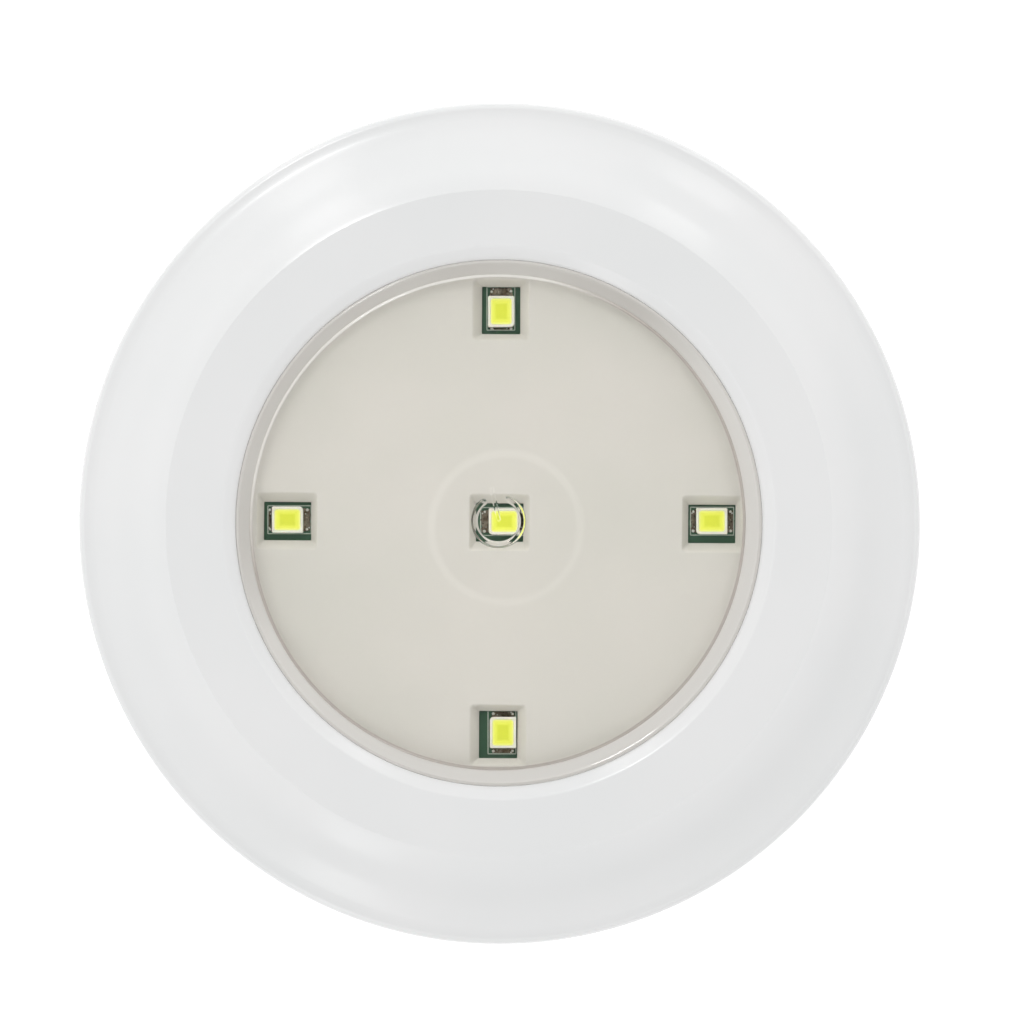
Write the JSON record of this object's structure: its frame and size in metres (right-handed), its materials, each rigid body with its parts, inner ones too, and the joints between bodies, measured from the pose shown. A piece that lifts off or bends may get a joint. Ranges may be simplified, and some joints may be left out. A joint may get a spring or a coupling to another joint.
{
  "type": "puck light",
  "caption": "Round battery puck light for a wall or cabinet: a glossy white bezel round a clear press-to-switch lens over LEDs, twisting off a mounting plate.",
  "frame": {"origin": "centre of the mounting plate's back face, which lies against the wall or on a table", "axes": "+Z out of the light's face along its axis, +Y up in the picture and along the battery cells, +X to the right"},
  "size_m": [0.086, 0.086, 0.0285],
  "materials": {
    "mounting_plate_plastic": "fine moulded texture, white",
    "bezel_plastic": "polished, white",
    "tray_plastic": "fine moulded texture, white",
    "clear_lens": "polished, clear",
    "window_plate_plastic": "satin, warm light grey",
    "green_board": "dark green solder mask",
    "switch_plastic": "satin, black",
    "switch_steel": "plated sheet",
    "plunger_plastic": "satin, white",
    "red_insulation": "smooth, red",
    "black_insulation": "smooth, black",
    "screw_steel": "zinc plated",
    "cell_jacket": "plain foil jacket, dark grey",
    "contact_nickel": "nickel plated",
    "led_white": "white moulded package",
    "led_phosphor": "yellow-green phosphor resin",
    "resistor_ceramic": "black coated chip"
  },
  "bodies": {
    "mounting_plate": {"mounting_plate": "mounting_plate_plastic"},
    "head": {"front_bezel": "bezel_plastic", "battery_tray": "tray_plastic", "case_screw_1": "screw_steel", "case_screw_2": "screw_steel", "case_screw_3": "screw_steel", "battery_cell_1": "cell_jacket", "battery_cell_2": "cell_jacket", "battery_cell_3": "cell_jacket", "contact_positive": "contact_nickel", "contact_link_upper": "contact_nickel", "contact_link_lower": "contact_nickel", "contact_negative": "contact_nickel", "contact_spring_1": "contact_nickel", "contact_spring_2": "contact_nickel", "contact_spring_3": "contact_nickel"},
    "light_engine": {"lens_cap": "clear_lens", "window_plate": "window_plate_plastic", "led_board": "green_board", "led_package_centre": "led_white", "led_package_left": "led_white", "led_package_right": "led_white", "led_package_top": "led_white", "led_package_bottom": "led_white", "led_phosphor_centre": "led_phosphor", "led_phosphor_left": "led_phosphor", "led_phosphor_right": "led_phosphor", "led_phosphor_top": "led_phosphor", "led_phosphor_bottom": "led_phosphor", "chip_resistor_1": "resistor_ceramic", "chip_resistor_2": "resistor_ceramic", "chip_resistor_3": "resistor_ceramic", "chip_resistor_4": "resistor_ceramic", "chip_resistor_5": "resistor_ceramic", "switch_case": "switch_plastic", "switch_cover": "switch_steel", "lead_red": "red_insulation", "lead_black": "black_insulation"},
    "switch_plunger": {"switch_plunger": "plunger_plastic"}
  },
  "joints": [
    {"name": "head_twist", "type": "hinge", "parent": "mounting_plate", "child": "head", "pos_m": [0, 0, 0], "axis": [0, 0, 1], "range_deg": [0, 22]},
    {"name": "lens_press", "type": "slide", "parent": "head", "child": "light_engine", "axis": [0, 0, 1], "range_m": [-0.0005, 0], "stiffness_N_per_m": 3000, "springref_m": 0.0005},
    {"name": "switch_press", "type": "slide", "parent": "light_engine", "child": "switch_plunger", "axis": [0, 0, 1], "range_m": [0, 0.0005]}
  ],
  "couplings": [
    {"joint": "switch_press", "follows": "lens_press", "ratio": -1}
  ]
}
